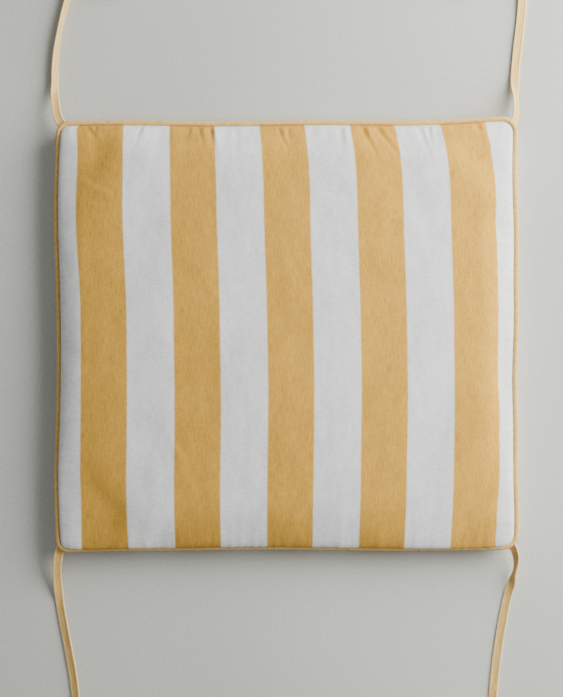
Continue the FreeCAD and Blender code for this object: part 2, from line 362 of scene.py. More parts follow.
# Plain materials: an even grain tints, roughens and bumps each of them.
threadLook = {
    "roughness": 0.6, "specular": 0.35, "sheen": 0.1, "scale": (2600.0, 1040.0, 2600.0), "detail": 2.0,
    "tint": (0.3, 0.7), "shine": (0.7, 0.5), "bump": (0.5, 0.0001),
}
cordLook = {**threadLook, "roughness": 0.85, "scale": (1400.0, 560.0, 1400.0), "shine": (0.95, 0.75)}
foamLook = {
    "roughness": 0.95, "specular": 0.15, "sheen": 0.2, "scale": (900.0, 900.0, 900.0), "detail": 4.0,
    "tint": (0.3, 0.7), "shine": (1.0, 0.9), "bump": (0.6, 0.0004),
}
waddingLook = {**foamLook, "scale": (160.0, 160.0, 160.0), "bump": (0.6, 0.0010)}
nylonLook = {
    "roughness": 0.42, "specular": 0.5, "scale": (900.0, 900.0, 900.0), "detail": 3.0,
    "tint": (0.35, 0.65), "shine": (0.50, 0.34), "bump": (0.2, 0.00006),
}
enamelLook = {**nylonLook, "roughness": 0.33, "scale": (500.0, 500.0, 500.0), "shine": (0.41, 0.25)}


def makeGrainMaterial(name, light, dark, look):
    material, tree, shader = startMaterial(name, look)
    cells = grain(tree, objectPlace(tree), look["scale"], look["detail"])
    colour = blendColours(tree, spread(tree, cells, *look["tint"]), (*dark, 1), (*light, 1))
    finishMaterial(tree, shader, colour, spread(tree, cells, 0.3, 0.7, *look["shine"]), cells, *look["bump"])
    return material


stripedFabric = makeStripedFabric()
trimFabric = makeTrimFabric("trimFabric", trimLook)
strapFabric = makeTrimFabric("strapFabric", strapLook)
sewingThread = makeGrainMaterial("sewingThread", (0.86, 0.72, 0.44), (0.72, 0.55, 0.27), threadLook)
print("fabrics made")

# Ties: each follows its own smooth line, flat strap with raised folded edges.
tieStrap = {
    "width": 0.008, "thickness": 0.0016, "length": 0.450, "step": 0.0016,
    "coilRadius": 0.035, "coilGrowth": 0.0016, "coilDrift": 0.0046, "coilWobble": 0.0005,
    "coilHeight": 0.0042, "coilRise": 0.0033, "perTurn": 14, "wander": 5,
    "floorGap": 0.0001, "lowest": 0.00002,
    "hemFrom": 0.009, "hemTo": 0.007, "hemSwell": 0.25, "endLength": 0.002, "endNarrow": 0.10, "sunk": 0.86,
    "stitchPitch": 0.0030, "stitchLength": 0.0021, "stitchRadius": 0.00016, "stitchInset": 0.0012,
}
# How high each point of a route lies, from the seam down to the floor.
routeHeights = [0.0160, 0.0157, 0.0146, 0.0106, 0.0052, 0.0019, 0.0010] + [0.0009] * 6
# The route in plan, how far the strap is turned about its own line (metres along, degrees),
# its spare turns and the side they lie on.
ties = {
    "tie_back_left": {
        "route": [
            (-0.1915, 0.1780), (-0.1968, 0.1838), (-0.2004, 0.1930), (-0.2022, 0.2030),
            (-0.2032, 0.2141), (-0.2035, 0.2261), (-0.2031, 0.2401), (-0.2010, 0.2575),
            (-0.1970, 0.2770), (-0.1915, 0.2970), (-0.1866, 0.3180), (-0.1832, 0.3380),
        ],
        "twist": [(0.0, 0), (0.030, -8), (0.050, -50), (0.089, -66), (0.119, -58), (0.159, -88)],
        "turns": 1.38, "side": -1,
    },
    "tie_back_right": {
        "route": [
            (0.1915, 0.1780), (0.1968, 0.1838), (0.1990, 0.1936), (0.1990, 0.2035),
            (0.1986, 0.2146), (0.1988, 0.2266), (0.2000, 0.2406), (0.2022, 0.2590),
            (0.2046, 0.2790), (0.2058, 0.2990), (0.2050, 0.3200), (0.2024, 0.3400),
        ],
        "twist": [
            (0.0, -10), (0.012, -42), (0.030, -50), (0.050, -12), (0.100, -7), (0.124, -16), (0.159, -90),
        ],
        "turns": 1.38, "side": 1,
    },
    "tie_front_left": {
        "route": [
            (-0.1915, -0.1780), (-0.1968, -0.1838), (-0.1996, -0.1935), (-0.2008, -0.2034),
            (-0.2008, -0.2144), (-0.1999, -0.2265), (-0.1979, -0.2403), (-0.1946, -0.2580),
            (-0.1909, -0.2775), (-0.1872, -0.2980), (-0.1846, -0.3200), (-0.1830, -0.3410),
            (-0.1826, -0.3610),
        ],
        "twist": [(0.0, 0), (0.016, 16), (0.044, 10), (0.066, -18), (0.138, -22), (0.184, -90)],
        "turns": 1.27, "side": 1,
    },
    "tie_front_right": {
        "route": [
            (0.1915, -0.1780), (0.1965, -0.1838), (0.1992, -0.1933), (0.1986, -0.2031),
            (0.1966, -0.2136), (0.1932, -0.2250), (0.1903, -0.2386), (0.1870, -0.2560),
            (0.1839, -0.2760), (0.1814, -0.2970), (0.1794, -0.3190), (0.1784, -0.3410),
            (0.1786, -0.3610),
        ],
        "twist": [(0.0, -10), (0.012, -48), (0.030, -76), (0.050, -14), (0.128, -6), (0.184, -90)],
        "turns": 1.27, "side": -1,
    },
}


def coilPoints(route, turns, side):
    # loose turns of the spare length, each a little inside the last
    end = Vector(route[-1])
    heading = (end - Vector(route[-2])).normalized()
    outward = Vector((heading.y, -heading.x, 0)) * side
    middle = end - outward * tieStrap["coilRadius"]
    middle.z = 0
    points = []
    for count in range(1, round(turns * tieStrap["perTurn"]) + 1):
        share = count / tieStrap["perTurn"]
        swell = tieStrap["coilGrowth"] * min(share * 4, 1) + tieStrap["coilWobble"] * math.sin(share * 11)
        radius = tieStrap["coilRadius"] + swell - tieStrap["coilDrift"] * share
        angle = 2 * math.pi * share * side
        turned = Vector((outward.x * math.cos(angle) - outward.y * math.sin(angle),
                         outward.x * math.sin(angle) + outward.y * math.cos(angle), 0))
        height = tieStrap["coilHeight"] - tieStrap["coilRise"] * (1 - min(share * 8, 1))
        points.append(middle + turned * radius + Vector((0, 0, height)))
    return points


def smoothLine(points):
    curve = bpy.data.curves.new("line", "CURVE")
    curve.dimensions = "3D"
    curve.resolution_u = 16
    spline = curve.splines.new("NURBS")
    spline.points.add(len(points) - 1)
    for entry, point in zip(spline.points, points):
        entry.co = (*point, 1)
    spline.order_u = 3
    spline.use_endpoint_u = True
    holder = linkPiece("line", curve)
    mesh = bpy.data.meshes.new_from_object(holder)
    line = [vertex.co.copy() for vertex in mesh.vertices]
    bpy.data.objects.remove(holder)
    return line


def evenly(line, step):
    # the same line with its points a fixed distance apart
    points = [line[0]]
    left = step
    for start, end in zip(line, line[1:]):
        length = (end - start).length
        travelled = 0.0
        while length - travelled >= left:
            travelled += left
            points.append(start.lerp(end, travelled / length))
            left = step
        left -= length - travelled
    return points


def keyed(keys, value):
    for (start, low), (end, high) in zip(keys, keys[1:]):
        if value <= end:
            return low + (high - low) * smoothStep(start, end, value)
    return keys[-1][1]


def addStitch(points, faces, start, end, radius, normal, sides=6, arch=0.6):
    # one stitch: a short round thread whose ends dip into the cloth
    along = (end - start).normalized()
    side = along.cross(normal).normalized()
    base = len(points)
    shares = (0.0, 0.25, 0.5, 0.75, 1.0)
    for share in shares:
        lift = normal * radius * (arch * math.sin(math.pi * share) * 2 - 0.6)
        thick = radius * (0.55 + 0.45 * math.sin(math.pi * share))
        for corner in range(sides):
            angle = 2 * math.pi * corner / sides
            points.append(start.lerp(end, share) + lift
                          + (side * math.cos(angle) + normal * math.sin(angle)) * thick)
    faces += barFaces(len(shares) - 1, sides, base, flip=True)


# the strap's upper outline: across from edge to edge, and height, as shares of half its size
strapSection = [
    (-1.0, 0.0), (-0.97, 0.62), (-0.86, 1.0), (-0.68, 0.94), (-0.50, 0.62), (-0.2, 0.55),
    (0.2, 0.55), (0.50, 0.60), (0.68, 0.84), (0.86, 0.95), (0.97, 0.62), (1.0, 0.0),
]


def makeTie(name, tie):
    route = [(x, y, z) for (x, y), z in zip(tie["route"], routeHeights)]
    controls = [Vector(point) for point in route] + coilPoints(route, tie["turns"], tie["side"])
    step = tieStrap["step"]
    centres = evenly(smoothLine(controls), step)
    half = tieStrap["width"] / 2
    thick = tieStrap["thickness"] / 2
    section = strapSection + [(across, -rise) for across, rise in reversed(strapSection[1:-1])]
    points, weave, sides, ups = [], [], [], []
    for index, centre in enumerate(centres):
        before = centres[max(index - 2, 0)]
        after = centres[min(index + 2, len(centres) - 1)]
        heading = (after - before).normalized()
        side = heading.cross(Vector((0, 0, 1))).normalized()
        up = side.cross(heading).normalized()
        along = index * step
        turn = keyed(tie["twist"], along) + tieStrap["wander"] * ripple(along * 22, 3.1, len(name))
        turn = math.radians(turn)
        sides.append(side * math.cos(turn) + up * math.sin(turn))
        ups.append(up * math.cos(turn) - side * math.sin(turn))
        # a turned strap stands on its lower edge
        standing = half * abs(sides[-1].z) + thick * abs(ups[-1].z) + tieStrap["floorGap"]
        centre.z = max(centre.z, standing)
    for index, centre in enumerate(centres):
        along = index * step
        fromEnd = (len(centres) - 1 - index) * step
        hem = 1.0 + tieStrap["hemSwell"] * smoothStep(tieStrap["hemFrom"], tieStrap["hemTo"], fromEnd)
        atEnd = smoothStep(tieStrap["endLength"], 0.0, min(fromEnd, along))
        narrow = 1.0 - tieStrap["endNarrow"] * atEnd
        for across, rise in section:
            waviness = 0.05 * ripple(along * 160, across * 2, 7.7)
            waviness += 0.03 * ripple(along * 420, across * 3, 1.2)
            width = half * across * narrow * (1 + 0.03 * ripple(along * 60, across, 4.4))
            lift = thick * (rise * hem + waviness * (1 - abs(across) * 0.5))
            point = centre + sides[index] * width + ups[index] * lift
            point.z = max(point.z, tieStrap["lowest"])
            points.append(point)
            weave.append((across * half, along + rise * thick, 0))
    faces = barFaces(len(centres) - 1, len(section))
    marks = [0] * len(faces)
    stitchFrom = len(points)
    inset = half - tieStrap["stitchInset"]
    stitchSteps = max(1, round(tieStrap["stitchPitch"] / step))
    share = tieStrap["stitchLength"] / (step * stitchSteps)
    for index in range(2, len(centres) - stitchSteps, stitchSteps):
        for face in (1, -1):
            ends = []
            for at in (index, index + stitchSteps):
                place = centres[at] + sides[at] * inset
                ends.append(place + ups[at] * (thick * tieStrap["sunk"] * face))
            addStitch(points, faces, ends[0], ends[0].lerp(ends[1], share),
                      tieStrap["stitchRadius"], ups[index] * face)
    weave += [(0.0, 0.0, 0.0)] * (len(points) - stitchFrom)
    marks += [1] * (len(faces) - len(marks))
    strap = makePiece(name.replace("tie_", "strap_"), points, faces, weave, marks)
    finishPiece(strap, None, "trim_fabric", [strapFabric, sewingThread], name, name + "_spare")
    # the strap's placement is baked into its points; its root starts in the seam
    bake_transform(strap)
    print(name, "length", round((len(centres) - 1) * step, 4))


for tieName, tieFacts in ties.items():
    makeTie(tieName, tieFacts)
print("ties made")

# The stuffed cover
coverLow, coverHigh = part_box("top_cover")
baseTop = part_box("bottom_cover")[1][2]
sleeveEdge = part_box("piping_sleeve")[1][0]
padShape = {
    "halfX": coverHigh[0], "halfY": coverHigh[1],
    "corners": {(-1, 1): 0.0068, (1, 1): 0.0105, (-1, -1): 0.0056, (1, -1): 0.0098},
    "topSeam": coverLow[2], "baseSeam": baseTop, "top": coverHigh[2],
    "roll": 0.033, "leftRoll": 0.021, "frontRoll": 0.043, "dome": 0.0078, "crownGap": 0.0004,
    "frontHang": 0.0050, "sideHang": 0.0004, "leftHang": 0.0022, "bulgeReach": (0.030, 0.004),
    "hangReach": (0.05, 0.004), "cell": 0.0031, "baseCell": 0.0060, "cloudHeight": 0.0004,
}
puff = {"cap": 0.0026, "frames": 20, "calm": 6}
clothSettings = {
    "quality": 6, "mass": 0.25, "tension_stiffness": 20, "compression_stiffness": 20, "shear_stiffness": 8,
    "bending_stiffness": 0.8, "use_pressure": True, "uniform_pressure_force": 0.35, "shrink_min": -0.005,
    "vertex_group_mass": "sewn",
}


def outlineDrift(x, y):
    # how far the sewn edge strays from the true rectangle
    halfX, halfY = padShape["halfX"], padShape["halfY"]
    left = smoothStep(-0.5, -0.97, x / halfX)
    right = smoothStep(0.5, 0.97, x / halfX)
    back = smoothStep(0.6, 0.97, y / halfY)
    front = smoothStep(-0.6, -0.97, y / halfY)
    dx = left * (-0.0024 * hump(y, 0.105, 0.062) - 0.0021 * hump(y, -0.128, 0.050))
    dx += right * (0.0006 * math.sin(y * 31) + 0.0003 * math.sin(y * 73 + 1))
    dy = back * (0.0008 * hump(x, 0.130, 0.06) + 0.0034 * hump(x, 0.200, 0.05)
                 + 0.0005 * math.sin(x * 36 + 0.6))
    dy += front * (0.0005 * math.sin(x * 27 + 2) - 0.0018 * hump(x, -0.200, 0.04))
    return dx, dy


def cornerRadius(x, y):
    return padShape["corners"][math.copysign(1, x), math.copysign(1, y)]


def planPoint(p, q, inset=0.0):
    # p and q run from -1 to 1 across the pad, and its corners are round
    corner = max(cornerRadius(p, q) - inset, 0.001)
    halfX, halfY = padShape["halfX"] - inset, padShape["halfY"] - inset
    x, y = p * halfX, q * halfY
    a = (abs(x) - (halfX - corner)) / corner
    b = (abs(y) - (halfY - corner)) / corner
    if a > 0 and b > 0:
        x = math.copysign(halfX - corner + corner * a * math.sqrt(1 - b * b / 2), x)
        y = math.copysign(halfY - corner + corner * b * math.sqrt(1 - a * a / 2), y)
    return x, y


def spacedShares(half, cell, extra=()):
    # grid lines, closer near the edges
    offsets = [0.0, 0.0014, 0.0030, 0.0050, 0.0075, 0.0105]
    inner = half - offsets[-1]
    count = round(2 * inner / cell)
    places = [-inner + 2 * inner * index / count for index in range(count + 1)]
    places += [sign * (half - offset) for offset in offsets[:-1] for sign in (-1, 1)]
    for value in extra:
        places = [place for place in places if abs(place - value) > cell * 0.45] + [value]
    return [place / half for place in sorted(places)]


def rolled(distance, width):
    return math.sqrt(max(1 - (1 - min(distance / width, 1.0)) ** 2, 0.0))


def topPoint(p, q, inset=0.0):
    x, y = planPoint(p, q, inset)
    edgeX = padShape["halfX"] * (1 - abs(p))
    edgeY = padShape["halfY"] * (1 - abs(q))
    share = rolled(edgeX, padShape["leftRoll" if p < 0 else "roll"])
    share *= rolled(edgeY, padShape["frontRoll" if q < 0 else "roll"])
    full = padShape["top"] - padShape["topSeam"] - inset
    rise = (full - padShape["dome"]) * share + padShape["dome"] * share * (1 - p * p) * (1 - q * q)
    lean = math.sin(math.pi * min(share, 1.0))
    # the panel bulges over the piping along the front and the left side
    hangX = hangY = padShape["sideHang"]
    if q < 0:
        hangY += padShape["frontHang"] * smoothStep(*padShape["bulgeReach"], edgeY)
    if p < 0:
        hangX += padShape["leftHang"] * smoothStep(*padShape["bulgeReach"], edgeX)
    dx, dy = outlineDrift(x, y)
    fade = 1 - 0.6 * share
    y += math.copysign(hangY * lean * smoothStep(*padShape["hangReach"], edgeY), q) + dy * fade
    x += math.copysign(hangX * lean * smoothStep(*padShape["hangReach"], edgeX), p) + dx * fade
    return Vector((x, y, padShape["topSeam"] + rise))


def calmed(mesh, moves, pinned):
    # each point moves as its neighbours do on average, which takes out hard folds
    totals = [move.copy() for move in moves]
    counts = [1] * len(moves)
    for edge in mesh.edges:
        first, second = edge.vertices
        totals[first] += moves[second]
        totals[second] += moves[first]
        counts[first] += 1
        counts[second] += 1
    evened = [total / count for total, count in zip(totals, counts)]
    for index in pinned:
        evened[index] = Vector((0, 0, 0))
    return evened


def puffCloth(piece, pinned):
    # swell the sewn panel with cloth simulation, then limit how far each point went
    start = [vertex.co.copy() for vertex in piece.data.vertices]
    group = piece.vertex_groups.new(name="sewn")
    group.add(pinned, 1.0, "REPLACE")
    modifier = piece.modifiers.new("Cloth", "CLOTH")
    for key, value in clothSettings.items():
        setattr(modifier.settings, key, value)
    modifier.settings.effector_weights.gravity = 0
    modifier.collision_settings.use_collision = False
    modifier.point_cache.frame_end = puff["frames"]
    for step in range(1, puff["frames"] + 1):
        scene.frame_set(step)
    graph = bpy.context.evaluated_depsgraph_get()
    swollen = [vertex.co.copy() for vertex in piece.evaluated_get(graph).data.vertices]
    piece.modifiers.clear()
    piece.vertex_groups.clear()
    scene.frame_set(1)
    moves = [after - before for before, after in zip(start, swollen)]
    print("cloth settled, furthest move", round(max(move.length for move in moves), 4))
    cap = puff["cap"]
    moves = [move.normalized() * (cap * math.tanh(move.length / cap)) for move in moves]
    for step in range(puff["calm"]):
        moves = calmed(piece.data, moves, pinned)
    for vertex, before, move in zip(piece.data.vertices, start, moves):
        vertex.co = before + move


def fitCrown(mesh, seam, top):
    # keep the swollen crown as high as the pad is
    share = (top - seam) / (max(vertex.co.z for vertex in mesh.vertices) - seam)
    for vertex in mesh.vertices:
        vertex.co.z = seam + (vertex.co.z - seam) * share


# Pleats where the back seam takes in fullness: place along X, slant, length, width, depth.
backPleats = [
    (-0.1735, 0.70, 0.010, 0.0018, 0.0011), (-0.1655, 0.10, 0.006, 0.0012, 0.0013),
    (-0.0840, -0.15, 0.008, 0.0013, 0.0010), (-0.0765, 0.25, 0.012, 0.0014, 0.0013),
    (-0.0665, 0.20, 0.016, 0.0017, 0.0016), (-0.0080, 0.35, 0.014, 0.0015, 0.0012),
    (0.0015, 0.05, 0.007, 0.0011, 0.0011), (0.0455, 0.10, 0.020, 0.0024, 0.0008),
    (0.0640, 0.45, 0.020, 0.0020, 0.0012), (0.0760, 0.70, 0.022, 0.0024, 0.0009),
    (0.1130, 0.30, 0.022, 0.0022, 0.0009), (0.1220, 0.10, 0.012, 0.0014, 0.0011),
    (-0.1260, -0.25, 0.012, 0.0018, 0.0008), (0.1640, 0.25, 0.012, 0.0015, 0.0010),
]
# Soft creases on the crown: start, end, width, depth.
crownCreases = [
    ((-0.176, 0.138), (-0.150, 0.122), 0.0035, 0.00022), ((-0.168, 0.112), (-0.140, 0.120), 0.0030, 0.00018),
    ((-0.060, 0.060), (-0.048, -0.020), 0.0060, 0.00018), ((0.002, 0.075), (0.012, 0.028), 0.0060, 0.00014),
    ((0.100, -0.010), (0.120, -0.070), 0.0060, 0.00016),
    ((-0.095, -0.080), (-0.080, -0.130), 0.0050, 0.00020),
    ((0.030, -0.120), (0.010, -0.165), 0.0045, 0.00020), ((0.150, 0.080), (0.165, 0.020), 0.0060, 0.00014),
]


def edgeGathers(x, y, edgeX, edgeY):
    # fine puckers square to each seam, fading inwards
    nearBack = math.exp(-edgeY / 0.011)
    nearSide = math.exp(-edgeX / 0.010)
    along = ripple(x * 120, edgeY * 22, 2.0 + (0 if y > 0 else 9)) + 0.5 * ripple(x * 260, edgeY * 40, 5.0)
    beside = ripple(y * 110, edgeX * 22, 3.0 + (0 if x > 0 else 9)) + 0.5 * ripple(y * 240, edgeX * 40, 8.0)
    return 0.0008 * along * nearBack + 0.0007 * beside * nearSide


def creaseDepth(x, y):
    total = 0.0
    for (x0, y0), (x1, y1), width, depth in crownCreases:
        dx, dy = x1 - x0, y1 - y0
        length = math.hypot(dx, dy)
        along = ((x - x0) * dx + (y - y0) * dy) / length / length
        if -0.3 < along < 1.3:
            off = ((x - x0) * dy - (y - y0) * dx) / length + 0.004 * ripple(along * 3, width * 900, 1.0)
            ends = smoothStep(-0.3, 0.3, along) * smoothStep(1.3, 0.7, along)
            total += depth * ends * (1.3 * hump(off, width * 1.2, width) - hump(off, 0.0, width * 0.7))
    return total


def stripeLean(x, y):
    # the panel was sewn in slightly askew: the stripes lean near the back and pinch near the front
    share = (x + 0.178) / 0.360
    shift = -0.0026 * smoothStep(0.0, 1.0, (y - 0.022) / 0.090)
    back = min(max((y - 0.113) / 0.065, 0.0), 1.1)
    shift -= 0.0080 * share * back * back
    shift += 0.0010 * hump(y, -0.056, 0.060)
    front = min(max((-0.125 - y) / 0.060, 0.0), 1.0)
    shift += front * (0.0014 - 0.0042 * share * share)
    shift += 0.0005 * ripple(x * 9, y * 14, 6.0)
    return shift


def makeTopCover():
    shares = spacedShares(padShape["halfX"], padShape["cell"])
    depths = spacedShares(padShape["halfY"], padShape["cell"])
    points, plan = [], []
    for p in shares:
        for q in depths:
            points.append(topPoint(p, q))
            plan.append((p * padShape["halfX"], q * padShape["halfY"], 0))
    cover = makePiece("coverTop", points, gridFaces(len(shares), len(depths)))
    setVectors(cover.data, "plan", plan)
    rows = len(depths)
    last = len(points) - rows
    sewn = [i for i in range(len(points)) if i % rows in (0, rows - 1) or i < rows or i >= last]
    puffCloth(cover, sewn)
    subdivide(cover)
    mesh = cover.data
    fitCrown(mesh, padShape["topSeam"], padShape["top"] - padShape["crownGap"])
    placed = getVectors(mesh, "plan")
    normals = [vertex.normal.copy() for vertex in mesh.vertices]
    weave = []
    for vertex, spot, normal in zip(mesh.vertices, placed, normals):
        x, y = spot.x, spot.y
        edgeX = padShape["halfX"] - abs(x)
        edgeY = padShape["halfY"] - abs(y)
        settle = smoothStep(0.0, 0.004, min(edgeX, edgeY))
        lift = edgeGathers(x, y, edgeX, edgeY) + creaseDepth(x, y)
        lift += padShape["cloudHeight"] * ripple(x * 26, y * 11, 1.0) + 0.0002 * ripple(x * 70, y * 30, 4.0)
        if y > 0.1:
            for middle, slant, length, width, depth in backPleats:
                off = x - middle - slant * edgeY
                fade = math.exp(-(edgeY / length) ** 2)
                lift += depth * fade * (0.7 * hump(off, width * 1.7, width) - hump(off, 0, width))
        vertex.co += normal * lift * settle
        weave.append((x - stripeLean(x, y), y, 0))
    setVectors(mesh, "weave", weave)
    mesh.attributes.remove(mesh.attributes["plan"])
    mesh.update()
    finishPiece(cover, "pad", "striped_fabric", [stripedFabric], "top_cover")


zipMouth = {"low": 0.0079, "high": 0.0158, "half": 0.153, "depth": 0.0028, "lip": 0.0002}
# The underside's edge in section: inset from the panel's edge, and height.
baseProfile = [
    (0.0, None), (-0.0003, 0.0172), (-0.0002, zipMouth["high"] + 0.0002),
    (0.0, zipMouth["high"]), (0.0, zipMouth["high"] - zipMouth["lip"]), (0.0, 0.0118),
    (0.0, zipMouth["low"] + zipMouth["lip"]), (0.0, zipMouth["low"]), (0.0001, zipMouth["low"] - 0.0002),
    (0.0004, 0.0060), (0.0013, 0.0036), (0.0030, 0.0016), (0.0055, 0.0005), (0.0090, 0.0001),
]


def perimeterShares(shares, depths):
    # once round the grid's edge, starting at the back right corner
    loop = [(p, 1.0) for p in reversed(shares)]
    loop += [(-1.0, q) for q in reversed(depths[:-1])]
    loop += [(p, -1.0) for p in shares[1:]]
    loop += [(1.0, q) for q in depths[1:-1]]
    return loop


def makeBaseCover():
    mouthEnds = [sign * (zipMouth["half"] + step) for sign in (-1, 1) for step in (0.0, 0.0006)]
    shares = spacedShares(padShape["halfX"], padShape["baseCell"], mouthEnds)
    depths = spacedShares(padShape["halfY"], padShape["baseCell"])
    loop = perimeterShares(shares, depths)
    points, weave = [], []
    for inset, height in baseProfile:
        z = padShape["baseSeam"] if height is None else height
        for p, q in loop:
            x, y = planPoint(p, q, inset)
            drift = smoothStep(0.0160, padShape["baseSeam"], z)
            dx, dy = outlineDrift(x, y)
            bulge = 0.0006 * math.sin(math.pi * min(z / 0.018, 1)) * (0 if q == 1.0 else 1)
            pucker = 0.0003 * ripple(x * 90, y * 90, z * 60)
            x += dx * drift + math.copysign(bulge + pucker, p) * (abs(p) > 0.999)
            y += dy * drift - (bulge + pucker) * (q < -0.999)
            inMouth = q == 1.0 and abs(p * padShape["halfX"]) <= zipMouth["half"] + 0.0001
            if inMouth and zipMouth["low"] < z < zipMouth["high"]:
                y -= zipMouth["depth"]
            points.append(Vector((x, y, z)))
            weave.append((p * padShape["halfX"], y - z if q < 1 else y + z, 0))
    bands = len(baseProfile) - 1
    faces = bandFaces(bands, len(loop))
    # the flat underside inside the rolled edge
    edge = {pair: bands * len(loop) + step for step, pair in enumerate(loop)}
    rows = len(depths)
    index = {}
    inset = baseProfile[-1][0]
    for i, p in enumerate(shares):
        for j, q in enumerate(depths):
            if (p, q) in edge or i in (0, len(shares) - 1) or j in (0, rows - 1):
                key = (p if 0 < i < len(shares) - 1 else math.copysign(1.0, p),
                       q if 0 < j < rows - 1 else math.copysign(1.0, q))
                index[i, j] = edge[key]
                continue
            x, y = planPoint(p, q, inset)
            z = 0.0001 + 0.0003 * max(ripple(x * 40, y * 40, 3.0), 0) + 0.0004 * (1 - p * p) * (1 - q * q)
            index[i, j] = len(points)
            points.append(Vector((x, y, z)))
            weave.append((p * padShape["halfX"], y, 0))
    for i in range(len(shares) - 1):
        for j in range(rows - 1):
            faces.append((index[i, j], index[i, j + 1], index[i + 1, j + 1], index[i + 1, j]))
    cover = makePiece("coverBase", points, faces, weave)
    finishPiece(cover, "pad", "striped_fabric", [stripedFabric], "bottom_cover")


makeTopCover()
makeBaseCover()
print("covers made")

# Piping
piping = {
    "radius": (sleeveEdge - padShape["halfX"]) / 2, "height": 0.019, "step": 0.0020, "sides": 14,
    "cordRadius": 0.0015, "cordStep": 0.0015, "cordSides": 12, "pucker": 0.035, "puckerLength": 0.0085,
}


def outlineLoop(offset, height, step):
    # points along the pad's outline, offset outwards, with the outline's own drift
    halfX, halfY = padShape["halfX"] + offset, padShape["halfY"] + offset
    arcs = []
    for turn, (signX, signY) in enumerate([(1, 1), (-1, 1), (-1, -1), (1, -1)]):
        corner = cornerRadius(signX, signY) + offset
        middle = Vector((signX * (halfX - corner), signY * (halfY - corner), height))
        count = max(6, round(corner * math.pi / 2 / step))
        angles = [math.pi / 2 * (turn + part / count) for part in range(count + 1)]
        arcs.append([middle + Vector((math.cos(angle), math.sin(angle), 0)) * corner for angle in angles])
    points = []
    for arc, following in zip(arcs, arcs[1:] + arcs[:1]):
        start, goal = arc[-1], following[0]
        count = round((goal - start).length / step)
        points += arc + [start.lerp(goal, part / count) for part in range(1, count)]
    for point in points:
        dx, dy = outlineDrift(point.x, point.y)
        point.x += dx
        point.y += dy
    return points


def tubeAlong(loop, sides, radiusAt):
    # a closed tube round the loop; radiusAt(distance, angle) gives its radius
    points, weave = [], []
    travelled = 0.0
    count = len(loop)
    for index, centre in enumerate(loop):
        heading = (loop[(index + 1) % count] - loop[index - 1]).normalized()
        out = heading.cross(Vector((0, 0, 1))).normalized()
        for side in range(sides):
            angle = 2 * math.pi * side / sides + math.pi
            radius = radiusAt(travelled, angle)
            rise = Vector((0, 0, math.sin(angle) * radius))
            points.append(centre + out * (math.cos(angle) * radius) + rise)
            around = radius * (angle - math.pi)
            weave.append((travelled + around, travelled - around, 0))
        travelled += (loop[(index + 1) % count] - centre).length
    # the last band closes on the first ring
    total = len(points)
    faces = [tuple(corner % total for corner in face) for face in bandFaces(count, sides, flip=True)]
    return points, faces, weave


def makePiping():
    radius = piping["radius"]

    def sleeveRadius(along, angle):
        phase = 2 * math.pi * along / piping["puckerLength"] + 1.5 * math.cos(angle)
        pull = piping["pucker"] * math.sin(phase)
        pull *= 0.5 + 0.5 * ripple(along * 30, 1.0)
        crease = 0.05 * ripple(along * 260 + angle, angle * 0.8, 2.0)
        return radius * (1 + pull + crease)

    loop = outlineLoop(radius, piping["height"], piping["step"])
    points, faces, weave = tubeAlong(loop, piping["sides"], sleeveRadius)
    sleeve = makePiece("pipingFabric", points, faces, weave)
    finishPiece(sleeve, "pad", "trim_fabric", [trimFabric], "piping_sleeve")

    def strandRadius(along, angle):
        return piping["cordRadius"] * (0.90 + 0.10 * abs(math.sin(1.5 * (angle + along * 900))))

    loop = outlineLoop(radius, piping["height"], piping["cordStep"])
    points, faces, weave = tubeAlong(loop, piping["cordSides"], strandRadius)
    cord = makePiece("pipingFill", points, faces, weave)
    finishPiece(cord, "pad", "piping_cord", [cottonCord], "piping_cord")


cottonCord = makeGrainMaterial("cottonCord", (0.86, 0.83, 0.74), (0.74, 0.70, 0.60), cordLook)
makePiping()
print("piping made")

# Filling: a foam slab, with wadding over and under it
filling = {
    "foamInset": 0.013, "waddingInset": 0.009, "gap": 0.0058, "loft": 0.0050, "under": 0.0014,
    "clearance": 0.0004, "columns": 32, "rows": 30,
}


def makeSlab(name, inset, topAt, baseAt, material, slot, node):
    # a closed soft layer between two heights given over the pad's plan
    columns, rows = filling["columns"], filling["rows"]
    points = []
    for heightAt in (topAt, baseAt):
        for column in range(-columns, columns + 1):
            for row in range(-rows, rows + 1):
                x, y = planPoint(column / columns, row / rows, inset)
                points.append(Vector((x, y, heightAt(x, y))))
    faces = closedGrid(2 * columns + 1, 2 * rows + 1)
    slab = makePiece(name, points, faces)
    finishPiece(slab, "pad", slot, [material], node)


def crownHeight(x, y):
    return topPoint(x / padShape["halfX"], y / padShape["halfY"]).z


def makeFilling():
    foam = makeGrainMaterial("paddingFoam", (0.86, 0.83, 0.70), (0.72, 0.68, 0.54), foamLook)
    wadding = makeGrainMaterial("polyesterWadding", (0.90, 0.90, 0.89), (0.80, 0.80, 0.79), waddingLook)
    gap, loft, under, clearance = [filling[key] for key in ("gap", "loft", "under", "clearance")]

    def foamTop(x, y):
        return crownHeight(x, y) - gap - loft - clearance

    def foamBase(x, y):
        return under + loft + clearance

    def upperTop(x, y):
        return crownHeight(x, y) - gap + 0.0006 * ripple(x * 60, y * 60)

    def upperBase(x, y):
        return crownHeight(x, y) - gap - loft

    def lowerTop(x, y):
        return under + loft

    def lowerBase(x, y):
        return under + 0.0004 * ripple(x * 60, y * 60, 5.0)

    inset = filling["waddingInset"]
    makeSlab("foamSlab", filling["foamInset"], foamTop, foamBase, foam, "foam", "foam_core")
    makeSlab("waddingUpper", inset, upperTop, upperBase, wadding, "wadding", "top_wadding")
    makeSlab("waddingLower", inset, lowerTop, lowerBase, wadding, "wadding", "bottom_wadding")


makeFilling()
print("filling made")

